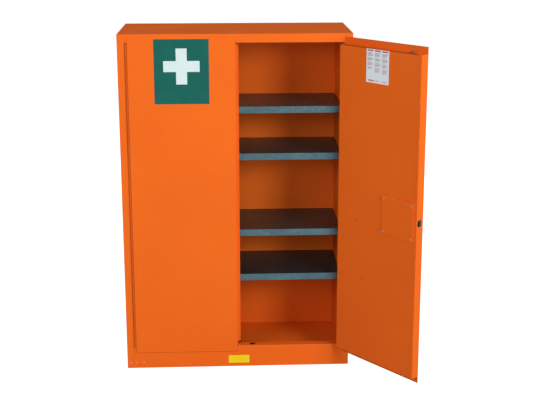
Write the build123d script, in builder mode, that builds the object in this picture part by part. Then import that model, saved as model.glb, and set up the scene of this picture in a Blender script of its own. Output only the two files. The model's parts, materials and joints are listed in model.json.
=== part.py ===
from build123d import *
import os
from collections import namedtuple
from math import cos, radians, sin

# A steel two-door safety storage cabinet with four lift-out shelves. The left door is shut and the
# right door stands open. Millimetres, +Z up, front towards -Y, origin on the floor at the middle
# of the cabinet's footprint.

# Body
width = 1092.0  # over the side panels
height = 1651.0  # floor to top panel
depth = 457.0  # front frame to back panel
sheet = 1.2  # every folded panel
bend_radius = 2.0  # at the middle of the sheet
air_space = 38.1  # between the outer and the inner walls
frame_fold = 38.0  # depth of the folds round the door opening
sill_height = 108.0  # floor to the top of the sill
sill_lip = 12.0  # fold down at the back of the sill
sump_depth = 50.8  # sill down to the sump's floor
ceiling_lap = 5.0  # inner top resting on the head's fold
liner_lift = 3.0  # lower edges of the inner walls above the sump's floor

# Channels between the walls
channel_half = 15.0  # half the channel's crown
channel_flange = 15.0
channel_end = 14.0  # kept clear above the sill and below the ceiling
side_channel_front = 200.0  # first channel behind the front
side_channel_pitch = 100.0
back_channel_pitch = 300.0
floor_channel_side = 250.0  # middle to each channel above and below the compartment
floor_channel_front = 70.0  # behind the front
floor_channel_length = 320.0

# Levelling feet
foot_inset_side = 66.0  # axis to the outer side
foot_inset_end = 57.0  # axis to the front or the back
foot_pad_radius = 14.0
foot_pad_height = 8.0
foot_stem_radius = 5.0
foot_stem_top = 54.0
foot_hole_clearance = 4.0
foot_thread_clearance = 0.06
bracket_half = 25.0
bracket_depth = 40.0
bracket_sheet = 3.0
bracket_height = 28.0
nut_radius = 9.0
nut_height = 10.0

# Shelves
shelf_side_gap = 4.0  # shelf to the hangers' plates
shelf_depth = 355.6
shelf_lip = 32.5
shelf_return = 15.0  # fold under the front lip
shelf_edge_radius = 2.0
shelf_back_gap = 0.6
slot_pitch = 76.2
lowest_shelf = 460.0
shelf_steps = (0, 3, 8, 11)  # slots above the lowest shelf
slot_rows = (-4, 14)  # first and last row of slots, counted from the lowest shelf's
slot_column_inset = 50.0  # from the shelf's front and back edges
slot_width = 4.0
slot_height = 20.0
slot_rise = 8.0  # middle of a slot above the shelf's lower edge
hanger_sheet = 1.5
hanger_half = 15.0
hanger_drop = 14.0
hanger_rise = 20.0
hanger_tab = 20.0
hook_width = 3.0
hook_height = 16.0
hook_reach = 2.0

# Hinges
hinge_inset = 40.5  # axis to the outer side
hinge_proud = 2.6  # axis ahead of the frame
knuckle_radius = 4.75
hinge_pin_radius = 2.0
hinge_pin_clearance = 0.06
knuckle_gap = 0.4
knuckle_relief = 0.5  # round the other leaf's knuckles
knuckle_length = 49.6
leaf_sheet = 1.5
leaf_width = 32.0
jamb_gap = 0.25  # knuckle to the jamb's fold
hinge_end_gap = 1.0

# Doors
door_swing = 129.1  # how far the right door stands open, degrees
door_depth = air_space + 2 * sheet  # the walls' air space between its two sheets
door_proud = 3.0  # skin ahead of the frame
door_overlap = 26.0  # skin past the opening, top and bottom
door_clearance = 3.5  # door box to the sill and to the head
meeting_gap = 3.0  # between the doors
skin_gap = 6.0  # hinge axis to the skin's edge
box_gap = 11.5  # hinge axis to the door box
hem = 18.0
pan_clearance = 0.2  # pan to the bend at the free edge
stiffener_place = 200.0  # middle of the stiffener from the hinge axis
stiffener_end = 20.0

# Astragal, keeper and sign on the left door
astragal_sheet = 1.5
astragal_flange = 16.0
astragal_reach = 14.5
astragal_end = 6.0
astragal_relief = 1.5
astragal_jog = 1.0  # half the width of the step between its two flats
bumper_width = 24.0
bumper_overhang = 4.0  # past the astragal's edge
bumper_depth = 10.0
bumper_height = 8.0
keeper_sheet = 2.0
keeper_height = 50.0
keeper_depth = 22.0
sign_width = 255.0
sign_height = 304.0
sign_inset = 122.0  # from the free edge
sign_drop = 7.0  # below the skin's top edge
label_sheet = 0.4

# Latch on the right door
latch_height = 853.0  # floor to the cam's axis
rod_inset = 69.0  # free edge to the rods
rod_depth = 25.1  # hinge axis plane to the rods' axis
rod_radius = 4.0
rod_hole_clearance = 1.0
rod_end = 45.0  # cam's axis to the end of a rod
rod_tab = 12.0
tab_rise = 9.0  # end of a rod to its tab, with room for the collar
rod_tab_sheet = 2.0
bolt_reach = 10.0  # out of the door box
bolt_tip_radius = 3.6
collar_radius = 8.0
collar_height = 4.0
guide_half = 9.0
guide_height = 12.0
guide_clearance = 0.1
guide_end = 106.0  # door box's end to the outer guides
guide_middle = 250.0  # cam's axis to the inner guides
cam_radius = 22.0  # axis to each driving pin
cam_swing = 25.0
cam_sheet = 1.9
cam_arm_half = 7.0
cam_pin_radius = 3.0
cam_stud_radius = 5.0
cam_stud_head = 7.0
cam_stud_cap = 1.5  # thickness of the stud's head
cam_clearance = 0.3
stud_clearance = 0.05
pin_slack = 0.6
tab_inner = 14.0  # cam's axis to each rod's leg
tab_outer = 30.0
tab_below = 8.0
nose_height = 28.0
nose_depth = 12.6
nose_length = 31.0
nose_reach = 9.0  # out of the door's free edge
nose_radius = 4.0
nose_clearance = 1.0
latch_bar_drop = 13.0  # cam's axis to the bar's upper edge
latch_bar_height = 15.0
latch_bar_gap = 0.5  # rods' tabs to the bar
latch_bar_end = 8.0
latch_riser = 13.0
latch_plate_sheet = 2.0
latch_plate_half = 32.0
latch_plate_front = 34.0
latch_plate_lap = 79.0

# Handle and lock on the right door
dish_inset = 123.0  # free edge to the dish's middle
dish_rise = 12.0  # dish's middle above the cam's axis
dish_width = 84.0
dish_height = 120.0
dish_depth = 23.0
dish_wall = 1.5
dish_corner = 6.0
bezel_width = 6.0
bezel_sheet = 1.5
cutout_clearance = 0.3
shaft_drop = 12.5  # below the dish's upper edge
shaft_depth = 8.0  # behind the skin's face
shaft_radius = 3.0
shaft_clearance = 0.05
shaft_overhang = 2.0
paddle_barrel = 7.0
paddle_sheet = 3.0
paddle_recess = 0.5
paddle_gap = 2.0
paddle_crown = 3.0
paddle_length = 71.0
paddle_lip = 6.4
lever_width = 4.0
lever_hub = 6.0
lever_gap = 1.0
lever_reach = 19.0
lever_fall = 3.7
lever_nose = 3.0
collar_gap = 0.3
lock_inset = 123.0
lock_drop = 115.0  # below the cam's axis
lock_radius = 9.0
lock_bezel = 12.0
lock_length = 20.0
plug_radius = 6.0
plug_clearance = 0.08
keyway_width = 2.0
keyway_height = 8.0
keyway_depth = 6.0
lock_arm_width = 10.0
lock_arm_gap = 1.0  # arm's tip to the bottom rod when locked

# Access cover and label inside the right door
cover_width = 191.0
cover_height = 181.0
cover_inset = 20.0  # free edge to the cover
cover_corner = 3.0
cover_rise = 5.0  # the cover is a shallow tray
access_lap = 18.0
screw_inset = 13.0
screw_radius = 1.9
screw_clearance = 0.06
screw_head_radius = 3.6
screw_head_height = 1.6
screw_end = 4.0  # past the pan's face
inner_label_width = 136.0
inner_label_height = 152.0
inner_label_inset = 190.0
inner_label_drop = 3.0

# Strikes, stop button and label on the frame
strike_width = 26.0
strike_depth = 19.0
strike_flange = 1.0
strike_lap = 1.3
strike_body = 5.0
strike_slot_width = 16.0
strike_slot_depth = 12.0
strike_fit = 0.2
button_place = 6.0  # right of the middle
button_depth = 8.0  # behind the front
button_radius = 4.5
button_height = 3.0
button_edge = 2.5
base_label_width = 102.0
base_label_height = 40.0
base_label_place = 4.0
base_label_rise = 18.0

# Places that follow from the sizes above. Depths count back from the front frame's face.
liner_x = width / 2 - 2 * sheet - air_space
liner_outside = liner_x + sheet
liner_back = depth - 2 * sheet - air_space
ceiling = height - 2 * sheet - air_space
head = ceiling - sheet
sump_floor = sill_height - sump_depth
hinge_x = width / 2 - hinge_inset
jamb_x = hinge_x + knuckle_radius + jamb_gap
shelf_tops = [lowest_shelf + slot_pitch * step for step in shelf_steps]
shelf_half = liner_x - hanger_sheet - shelf_side_gap
shelf_front = liner_back - shelf_back_gap - shelf_depth
slot_columns = (shelf_front + slot_column_inset, shelf_front + shelf_depth - slot_column_inset)

# Places on a door. u counts from the hinge axis to the free edge and d back from the axis.
reach = hinge_x - meeting_gap / 2
skin_face = hinge_proud - door_proud
skin_back = skin_face + sheet
door_back = skin_face + door_depth
pan_back = door_back - sheet
pan_inside = pan_back - sheet
skin_heights = (sill_height - door_overlap, head + door_overlap)
box_heights = (sill_height + door_clearance, head - door_clearance)
cavity = (box_heights[0] + sheet, box_heights[1] - sheet)
hinge_heights = (sill_height + hinge_end_gap, head - hinge_end_gap)
dish_back = skin_face + dish_depth
plate_back = dish_back + latch_plate_sheet
cam_front = plate_back + cam_clearance
cam_back = cam_front + cam_sheet
tab_back = rod_depth + rod_radius
tab_front = tab_back - rod_tab_sheet
bar_front = tab_back + latch_bar_gap
bar_back = bar_front + rod_tab_sheet
cam_travel = cam_radius * radians(cam_swing)
pin_shift = cam_radius * (1 - cos(radians(cam_swing)))

# The cabinet's plane lies on the floor with its origin at the foot of the front frame.
cabinet = Plane(origin=(0, -depth / 2, 0))
hinge_y = -depth / 2 - hinge_proud
swing = radians(door_swing)
Leaf = namedtuple("Leaf", "side hand plane inward")
left_leaf = Leaf("left", -1, Plane(origin=(-hinge_x, hinge_y, 0)), 1)
right_axes = {"x_dir": (-cos(swing), -sin(swing), 0), "z_dir": (0, 0, 1)}
right_leaf = Leaf("right", 1, Plane(origin=(hinge_x, hinge_y, 0), **right_axes), -1)
leaves = (left_leaf, right_leaf)

os.makedirs("parts", exist_ok=True)


def keep(piece, name):
    """Labels a finished piece and writes its file."""
    piece.part.label = name
    export_step(piece.part, f"parts/{name}.step")


def block(x, y, z, mode=Mode.ADD):
    """Box over the spans x, y and z of the open part's plane."""
    with Locations(((x[0] + x[1]) / 2, (y[0] + y[1]) / 2, (z[0] + z[1]) / 2)):
        Box(abs(x[1] - x[0]), abs(y[1] - y[0]), abs(z[1] - z[0]), mode=mode)


def folded(plane, points, thickness=sheet, radius=bend_radius):
    """Section of a folded sheet whose mid line runs through the points."""
    with BuildSketch(plane) as section:
        with BuildLine():
            FilletPolyline(*points, radius=radius)
        trace(line_width=thickness)
    return section.sketch


def channel(plane, rise):
    """Section of a hat channel that stands on the plane's x axis and spans the rise."""
    low, high = sheet / 2, rise - sheet / 2
    foot = channel_half + channel_flange
    points = [(-foot, low), (-channel_half, low), (-channel_half, high)]
    points += [(-x, y) for x, y in reversed(points)]
    return folded(plane, points)


def across(leaf, d0, d1):
    """Span of depths d0 to d1 in the leaf's own plane."""
    return (leaf.inward * d0, leaf.inward * d1)


def latch_face(d):
    """Plane on the right door at depth d: x to the free edge, y up, origin on the cam's axis."""
    along = right_leaf.plane.x_dir
    foot = right_leaf.plane.from_local_coords((reach - rod_inset, -d, latch_height))
    return Plane(origin=foot, x_dir=along, z_dir=along.cross(Vector(0, 0, 1)))


# --- Outer shell ---

for leaf in leaves:
    hand = leaf.hand
    with BuildPart() as outer_side:
        edge = hand * (width / 2 - sheet / 2)
        fold = hand * (jamb_x + sheet / 2)
        front = sheet / 2
        run = [(edge, depth - sheet), (edge, front), (fold, front), (fold, frame_fold)]
        extrude(folded(cabinet.offset(sheet), run), amount=height - 2 * sheet)
    keep(outer_side, f"outer_{leaf.side}_side")

with BuildPart(cabinet) as outer_back:
    block((-width / 2, width / 2), (depth - sheet, depth), (sheet, height - sheet))
keep(outer_back, "outer_back")

side_view = Plane(origin=(-jamb_x, -depth / 2, 0), x_dir=(0, 1, 0), z_dir=(1, 0, 0))
strike_x = meeting_gap / 2 + rod_inset
strike_y = rod_depth - hinge_proud
strike_hole_x = strike_width / 2 - strike_lap
strike_hole_y = strike_depth / 2 - strike_lap
strike_hole = (
    (strike_x - strike_hole_x, strike_x + strike_hole_x),
    (strike_y - strike_hole_y, strike_y + strike_hole_y),
)

with BuildPart(cabinet) as outer_top:
    top_mid, head_mid = height - sheet / 2, head + sheet / 2
    run = [(depth, top_mid), (sheet / 2, top_mid), (sheet / 2, head_mid), (frame_fold, head_mid)]
    extrude(folded(side_view, run), amount=2 * jamb_x)
    for hand in (-1, 1):
        wing = (hand * jamb_x, hand * width / 2)
        block(wing, (0, depth), (height - sheet, height))
    block(*strike_hole, (head - sheet, head + 2 * sheet), mode=Mode.SUBTRACT)
keep(outer_top, "outer_top")

with BuildPart(cabinet) as base_front:
    sill_mid, lip_y = sill_height - sheet / 2, frame_fold - sheet / 2
    run = [(sheet / 2, sheet), (sheet / 2, sill_mid), (lip_y, sill_mid)]
    run.append((lip_y, sill_height - sill_lip))
    extrude(folded(side_view, run), amount=2 * jamb_x)
    block(*strike_hole, (sill_height - 2 * sheet, sill_height + sheet), mode=Mode.SUBTRACT)
keep(base_front, "base_front")

foot_x = width / 2 - foot_inset_side
foot_ends = {"front": foot_inset_end, "rear": depth - foot_inset_end}
foot_places = [
    (f"{end}_{leaf.side}", leaf.hand * foot_x, y) for leaf in leaves for end, y in foot_ends.items()
]

with BuildPart(cabinet) as bottom_panel:
    block((-width / 2, width / 2), (0, depth), (0, sheet))
    with Locations([(x, y, 0) for _, x, y in foot_places]):
        Hole(foot_pad_radius + foot_hole_clearance)
keep(bottom_panel, "bottom_panel")

# --- Inner walls ---

with BuildPart(cabinet) as sump_pan:
    wall_x, wall_y = liner_outside + sheet, liner_back + 2 * sheet
    block((-wall_x, wall_x), (frame_fold, wall_y), (sump_floor - sheet, sill_height))
    room_x, room_y = (-liner_outside, liner_outside), (frame_fold + sheet, liner_back + sheet)
    block(room_x, room_y, (sump_floor, sill_height), mode=Mode.SUBTRACT)
keep(sump_pan, "sump_pan")

slot_middles = [
    lowest_shelf - shelf_lip + slot_rise + slot_pitch * row
    for row in range(slot_rows[0], slot_rows[1] + 1)
    if lowest_shelf + slot_pitch * row < ceiling - slot_pitch / 2
]

for leaf in leaves:
    hand = leaf.hand
    liner_low = sump_floor + liner_lift
    with BuildPart(cabinet) as inner_side:
        wall = (hand * liner_x, hand * liner_outside)
        block(wall, (frame_fold + sheet, liner_back + sheet), (liner_low, ceiling))
        lap = (hand * liner_x, hand * (jamb_x + sheet))
        block(lap, (frame_fold, frame_fold + sheet), (sill_height, ceiling))
        slots = [(hand * liner_x, y, z) for y in slot_columns for z in slot_middles]
        with Locations(slots):
            Box(4 * sheet, slot_width, slot_height, mode=Mode.SUBTRACT)
    keep(inner_side, f"inner_{leaf.side}_side")

with BuildPart(cabinet) as inner_back:
    block((-liner_x, liner_x), (liner_back, liner_back + sheet), (liner_low, ceiling))
keep(inner_back, "inner_back")

with BuildPart(cabinet) as inner_top:
    lap_y = frame_fold - ceiling_lap
    over = (ceiling, ceiling + sheet)
    block((-liner_outside, liner_outside), (lap_y, liner_back + sheet), over)
keep(inner_top, "inner_top")

with BuildPart() as wall_channels:
    foot_z = sill_height + channel_end
    for leaf in leaves:
        for y in (side_channel_front, side_channel_front + side_channel_pitch):
            spot = (leaf.hand * liner_outside, y - depth / 2, foot_z)
            upright = Plane(origin=spot, x_dir=(0, -leaf.hand, 0), z_dir=(0, 0, 1))
            extrude(channel(upright, air_space), amount=ceiling - channel_end - foot_z)
    for x in (-back_channel_pitch, 0, back_channel_pitch):
        spot = (x, liner_back + sheet - depth / 2, foot_z)
        upright = Plane(origin=spot, x_dir=(1, 0, 0), z_dir=(0, 0, 1))
        extrude(channel(upright, air_space), amount=ceiling - channel_end - foot_z)
    base_rise = sump_floor - 2 * sheet
    for x in (-floor_channel_side, floor_channel_side):
        for low, rise in ((sheet, base_rise), (ceiling + sheet, air_space)):
            spot = (x, floor_channel_front + floor_channel_length - depth / 2, low)
            level = Plane(origin=spot, x_dir=(1, 0, 0), z_dir=(0, -1, 0))
            extrude(channel(level, rise), amount=floor_channel_length)
keep(wall_channels, "wall_channels")

# --- Levelling feet ---

with BuildPart(cabinet) as foot_brackets:
    for _, x, y in foot_places:
        half_x, half_y = bracket_half + bracket_sheet, bracket_depth / 2
        footprint = ((x - half_x, x + half_x), (y - half_y, y + half_y))
        block(*footprint, (sheet, bracket_height))
        under = (sheet, bracket_height - bracket_sheet)
        block((x - bracket_half, x + bracket_half), footprint[1], under, mode=Mode.SUBTRACT)
        with Locations((x, y, bracket_height)):
            standing = (Align.CENTER, Align.CENTER, Align.MIN)
            Cylinder(nut_radius, nut_height, align=standing)
            Hole(foot_stem_radius + foot_thread_clearance)
keep(foot_brackets, "foot_brackets")

for name, x, y in foot_places:
    with BuildPart(cabinet) as levelling_foot:
        with BuildSketch(cabinet):
            with Locations((x, y)):
                RegularPolygon(foot_pad_radius, 6)
        extrude(amount=foot_pad_height)
        with BuildSketch(cabinet.offset(foot_pad_height)):
            with Locations((x, y)):
                Circle(foot_stem_radius)
        extrude(amount=foot_stem_top - foot_pad_height)
    keep(levelling_foot, f"levelling_foot_{name}")

# --- Shelves and their hangers ---

for number, top in enumerate(shelf_tops, start=1):
    with BuildPart(cabinet) as shelf:
        run_y = (shelf_front, shelf_front + shelf_depth)
        block((-shelf_half, shelf_half), run_y, (top - shelf_lip, top))
        fillet(shelf.edges().group_by(Axis.Z)[-1], shelf_edge_radius)
        inside_x = (sheet - shelf_half, shelf_half - sheet)
        inside_y = (run_y[0] + sheet, run_y[1] - sheet)
        block(inside_x, inside_y, (top - shelf_lip, top - sheet), mode=Mode.SUBTRACT)
        under_y = (run_y[0] + sheet, run_y[0] + shelf_return)
        block(inside_x, under_y, (top - shelf_lip, top - shelf_lip + sheet))
    keep(shelf, f"shelf_{number}")

hangers = []
for leaf in leaves:
    hand = leaf.hand
    half_hook = hook_height / 2
    with BuildPart() as hanger:
        span = (-hanger_half, hanger_half)
        plate_x = (hand * (liner_x - hanger_sheet), hand * liner_x)
        block(plate_x, span, (-hanger_drop, hanger_rise))
        block((hand * (liner_x - hanger_tab), plate_x[0]), span, (-hanger_sheet, 0))
        hook_x = (hand * liner_x, hand * (liner_outside + hook_reach))
        hook_y = (-hook_width / 2, hook_width / 2)
        block(hook_x, hook_y, (slot_rise - half_hook, slot_rise + half_hook))
    hangers.append(hanger.part)

with BuildPart(cabinet) as shelf_hangers:
    with Locations([(0, y, top - shelf_lip) for y in slot_columns for top in shelf_tops]):
        add(hangers)
keep(shelf_hangers, "shelf_hangers")

# --- Strikes, stop button and label on the frame ---


def strike(name, surface, up):
    """Plastic strike set into the frame at the height of the surface, facing up or down."""
    with BuildPart(cabinet) as piece:
        half_x, half_y = strike_width / 2, strike_depth / 2
        whole = ((strike_x - half_x, strike_x + half_x), (strike_y - half_y, strike_y + half_y))
        block(*whole, (surface, surface + up * strike_flange))
        body = [(low + strike_fit, high - strike_fit) for low, high in strike_hole]
        block(*body, (surface, surface - up * strike_body))
        slot_x, slot_y = strike_slot_width / 2, strike_slot_depth / 2
        slot = ((strike_x - slot_x, strike_x + slot_x), (strike_y - slot_y, strike_y + slot_y))
        block(*slot, (surface + up * strike_flange, surface - up * strike_body), Mode.SUBTRACT)
    keep(piece, name)


strike("sill_strike", sill_height, 1)
strike("head_strike", head, -1)

with BuildPart(cabinet) as stop_button:
    with BuildSketch(cabinet.offset(sill_height)):
        with Locations((button_place, button_depth)):
            Circle(button_radius)
    extrude(amount=button_height)
    fillet(stop_button.edges().group_by(Axis.Z)[-1], button_edge)
keep(stop_button, "stop_button")

with BuildPart(cabinet) as base_label:
    half = base_label_width / 2
    label_x = (base_label_place - half, base_label_place + half)
    label_z = (base_label_rise, base_label_rise + base_label_height)
    block(label_x, (-label_sheet, 0), label_z)
keep(base_label, "base_label")

# --- Hinges ---

hinge_length = hinge_heights[1] - hinge_heights[0]
knuckle_count = 2 * round((hinge_length / (knuckle_length + knuckle_gap) - 1) / 2) + 1
knuckle_step = (hinge_length + knuckle_gap) / knuckle_count
knuckle_feet = [hinge_heights[0] + knuckle_step * number for number in range(knuckle_count)]
knuckle_run = knuckle_step - knuckle_gap
knuckle_bore = hinge_pin_radius + hinge_pin_clearance
comb = knuckle_radius + knuckle_relief

for leaf in leaves:
    fixed_plane = Plane(origin=leaf.plane.origin)
    jamb_side = leaf.hand * (jamb_x - hinge_x)
    jamb_face = leaf.hand * (jamb_x - hinge_x - leaf_sheet)
    with BuildPart(fixed_plane) as fixed_leaf:
        block((jamb_face, jamb_side), (comb, frame_fold - leaf_sheet), hinge_heights)
        for foot in knuckle_feet[0::2]:
            with BuildSketch(fixed_plane.offset(foot)):
                Circle(knuckle_radius)
                with Locations(((jamb_face + jamb_side) / 2, comb / 2)):
                    Rectangle(leaf_sheet, comb)
                Circle(knuckle_bore, mode=Mode.SUBTRACT)
            extrude(amount=knuckle_run)
    keep(fixed_leaf, f"{leaf.side}_hinge_frame_leaf")

    with BuildPart(leaf.plane) as door_leaf:
        plate_d = across(leaf, skin_back, skin_back + leaf_sheet)
        block((comb, leaf_width), plate_d, cavity)
        for foot in knuckle_feet[1::2]:
            with BuildSketch(leaf.plane.offset(foot)):
                Circle(knuckle_radius)
                with Locations(((knuckle_bore + skin_gap) / 2, sum(plate_d) / 2)):
                    Rectangle(skin_gap - knuckle_bore, leaf_sheet)
                Circle(knuckle_bore, mode=Mode.SUBTRACT)
            extrude(amount=knuckle_run)
    keep(door_leaf, f"{leaf.side}_hinge_door_leaf")

    with BuildPart(fixed_plane) as hinge_pin:
        with BuildSketch(fixed_plane.offset(hinge_heights[0])):
            Circle(hinge_pin_radius)
        extrude(amount=hinge_length)
    keep(hinge_pin, f"{leaf.side}_hinge_pin")

# --- Door panels ---

dish_x = rod_inset - dish_inset
lock_x = rod_inset - lock_inset
nose_d = (bar_back - nose_depth, bar_back)
nose_half = nose_height / 2
cover_u = (reach - cover_inset - cover_width, reach - cover_inset)
cover_z = (latch_height - cover_height / 2, latch_height + cover_height / 2)
screw_u = (cover_u[0] + screw_inset, cover_u[1] - screw_inset)
screw_z = (cover_z[0] + screw_inset, cover_z[1] - screw_inset)
screw_spots = [(u - reach + rod_inset, z - latch_height) for u in screw_u for z in screw_z]

for leaf in leaves:
    with BuildPart(leaf.plane) as door_skin:
        block((skin_gap, reach), across(leaf, skin_face, skin_back), skin_heights)
        edge_u, skin_mid = reach - sheet / 2, (skin_face + skin_back) / 2
        run = [(edge_u, skin_mid), (edge_u, door_back - sheet / 2)]
        run.append((reach - hem, door_back - sheet / 2))
        fold = folded(leaf.plane.offset(box_heights[0]), [(u, leaf.inward * d) for u, d in run])
        extrude(fold, amount=box_heights[1] - box_heights[0])
        window_d = across(leaf, nose_d[0] - nose_clearance, nose_d[1] + nose_clearance)
        window_z = [latch_height + way * (nose_half + nose_clearance) for way in (-1, 1)]
        block((reach - 2 * sheet, reach + sheet), window_d, window_z, mode=Mode.SUBTRACT)
        if leaf is right_leaf:
            with BuildSketch(latch_face(skin_face)):
                with Locations((dish_x, dish_rise)):
                    growth = 2 * cutout_clearance
                    corner = dish_corner + cutout_clearance
                    RectangleRounded(dish_width + growth, dish_height + growth, corner)
                with Locations((lock_x, -lock_drop)):
                    Circle(lock_radius + cutout_clearance)
            extrude(amount=sheet, mode=Mode.SUBTRACT)
    keep(door_skin, f"{leaf.side}_door_skin")

    with BuildPart(leaf.plane) as door_pan:
        pan_u = (box_gap, reach - sheet / 2 - bend_radius - pan_clearance)
        block(pan_u, across(leaf, skin_back, pan_back), box_heights)
        inside_u = (box_gap + sheet, reach + sheet)
        block(inside_u, across(leaf, skin_face, pan_inside), cavity, mode=Mode.SUBTRACT)
        entry_d = across(leaf, skin_back, skin_back + leaf_sheet)
        block((box_gap, inside_u[0]), entry_d, cavity, mode=Mode.SUBTRACT)
        if leaf is right_leaf:
            rod_place = (reach - rod_inset, leaf.inward * rod_depth)
            with Locations((*rod_place, box_heights[1]), (*rod_place, cavity[0])):
                Hole(rod_radius + rod_hole_clearance, depth=2 * sheet)
            access_u = (cover_u[0] + access_lap, cover_u[1] - access_lap)
            access_z = (cover_z[0] + access_lap, cover_z[1] - access_lap)
            access_d = across(leaf, pan_inside, pan_back)
            block(access_u, access_d, access_z, mode=Mode.SUBTRACT)
            with BuildSketch(latch_face(pan_inside)):
                with Locations(screw_spots):
                    Circle(screw_radius + screw_clearance)
            extrude(amount=sheet, mode=Mode.SUBTRACT)
    keep(door_pan, f"{leaf.side}_door_pan")

    with BuildPart() as door_stiffener:
        spot = (stiffener_place, leaf.inward * skin_back, cavity[0] + stiffener_end)
        upright = Plane(
            origin=leaf.plane.from_local_coords(spot),
            x_dir=leaf.plane.x_dir * leaf.inward,
            z_dir=(0, 0, 1),
        )
        run_length = cavity[1] - cavity[0] - 2 * stiffener_end
        extrude(channel(upright, pan_inside - skin_back), amount=run_length)
    keep(door_stiffener, f"{leaf.side}_door_stiffener")

# --- Left door fittings ---

with BuildPart() as astragal:
    near = door_back + astragal_sheet / 2
    far = near + astragal_relief
    run = [(reach - astragal_flange, near), (reach - astragal_jog, near)]
    run += [(reach + astragal_jog, far), (reach + astragal_reach, far)]
    foot = left_leaf.plane.offset(box_heights[0] + astragal_end)
    run_length = box_heights[1] - box_heights[0] - 2 * astragal_end
    extrude(folded(foot, run, astragal_sheet, astragal_sheet), amount=run_length)
keep(astragal, "astragal")

with BuildPart(left_leaf.plane) as astragal_bumper:
    bumper_d = (far + astragal_sheet / 2, far + astragal_sheet / 2 + bumper_depth)
    bumper_end = reach + astragal_reach
    bumper_foot = (box_heights[0], box_heights[0] + astragal_end)
    bumper_u = (bumper_end - bumper_width, bumper_end)
    block(bumper_u, bumper_d, (bumper_foot[1], bumper_foot[1] + bumper_height))
    under_u = (bumper_u[0], bumper_end + bumper_overhang)
    block(under_u, (far - astragal_sheet / 2, bumper_d[1]), bumper_foot)
keep(astragal_bumper, "astragal_bumper")

with BuildPart(left_leaf.plane) as latch_keeper:
    keeper_mid = (nose_d[0] + nose_d[1]) / 2
    keeper_u = (reach - sheet - keeper_sheet, reach - sheet)
    keeper_d = (keeper_mid - keeper_depth / 2, keeper_mid + keeper_depth / 2)
    keeper_z = (latch_height - keeper_height / 2, latch_height + keeper_height / 2)
    block(keeper_u, keeper_d, keeper_z)
    slot_d = (nose_d[0] - nose_clearance, nose_d[1] + nose_clearance)
    slot_half = nose_half + nose_clearance
    slot_z = (latch_height - slot_half, latch_height + slot_half)
    block(keeper_u, slot_d, slot_z, mode=Mode.SUBTRACT)
keep(latch_keeper, "latch_keeper")

with BuildPart(left_leaf.plane) as door_sign:
    sign_u = (reach - sign_inset - sign_width, reach - sign_inset)
    sign_z = (skin_heights[1] - sign_drop - sign_height, skin_heights[1] - sign_drop)
    block(sign_u, (skin_face - label_sheet, skin_face), sign_z)
keep(door_sign, "door_sign")

# --- Handle ---

shaft_y = dish_rise + dish_height / 2 - shaft_drop
shaft_d = skin_face + shaft_depth
dish_sides = (dish_x - dish_width / 2, dish_x + dish_width / 2)

with BuildPart() as handle_dish:
    with BuildSketch(latch_face(skin_face - bezel_sheet)):
        with Locations((dish_x, dish_rise)):
            bezel_x, bezel_y = dish_width + 2 * bezel_width, dish_height + 2 * bezel_width
            RectangleRounded(bezel_x, bezel_y, dish_corner + bezel_width / 2)
    extrude(amount=bezel_sheet)
    with BuildSketch(latch_face(skin_face)):
        with Locations((dish_x, dish_rise)):
            RectangleRounded(dish_width, dish_height, dish_corner)
    extrude(amount=dish_depth)
    with BuildSketch(latch_face(skin_face - bezel_sheet)):
        with Locations((dish_x, dish_rise)):
            room = (dish_width - 2 * dish_wall, dish_height - 2 * dish_wall)
            RectangleRounded(*room, dish_corner - dish_wall)
    extrude(amount=bezel_sheet + dish_depth - dish_wall, mode=Mode.SUBTRACT)
    across_plane = latch_face(shaft_d)
    bore_start = across_plane.from_local_coords((dish_sides[0] - dish_wall, shaft_y, 0))
    bore_plane = Plane(origin=bore_start, x_dir=(0, 0, 1), z_dir=across_plane.x_dir)
    with BuildSketch(bore_plane):
        Circle(shaft_radius + shaft_clearance)
    extrude(amount=dish_width + 2 * dish_wall, mode=Mode.SUBTRACT)
keep(handle_dish, "handle_dish")

lever_end = -rod_radius - lever_gap
shaft_run = (dish_sides[0] - shaft_overhang, lever_end)


def shaft_section(x):
    """Plane across the handle's shaft at x: its own x up and its own y inwards."""
    origin = latch_face(shaft_d).from_local_coords((x, shaft_y, 0))
    return Plane(origin=origin, x_dir=(0, 0, 1), z_dir=latch_face(0).x_dir)


with BuildPart() as handle_shaft:
    with BuildSketch(shaft_section(shaft_run[0])):
        Circle(shaft_radius)
    extrude(amount=shaft_run[1] - shaft_run[0])
keep(handle_shaft, "handle_shaft")

paddle_run = (dish_sides[0] + dish_wall + paddle_gap, dish_sides[1] - dish_wall - paddle_gap)
paddle_face = paddle_recess - bezel_sheet - shaft_depth
plate_middle = (paddle_crown - paddle_length) / 2, paddle_face + paddle_sheet / 2
lip_middle = paddle_sheet / 2 - paddle_length, paddle_face + paddle_sheet + paddle_lip / 2
lever_nose_at = (-lever_fall, lever_reach)

with BuildPart() as paddle:
    with BuildSketch(shaft_section(paddle_run[0])):
        Circle(paddle_barrel)
        with Locations(plate_middle):
            Rectangle(paddle_length + paddle_crown, paddle_sheet)
        with Locations(lip_middle):
            Rectangle(paddle_sheet, paddle_lip)
        Circle(shaft_radius + shaft_clearance, mode=Mode.SUBTRACT)
    extrude(amount=paddle_run[1] - paddle_run[0])
keep(paddle, "paddle")

with BuildPart() as handle_lever:
    with BuildSketch(shaft_section(lever_end - lever_width)):
        with BuildLine():
            Line((0, 0), lever_nose_at)
        trace(line_width=2 * lever_nose)
        Circle(lever_hub)
        with Locations(lever_nose_at):
            Circle(lever_nose)
        Circle(shaft_radius + shaft_clearance, mode=Mode.SUBTRACT)
    extrude(amount=lever_width)
keep(handle_lever, "handle_lever")

# --- Latch ---

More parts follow.
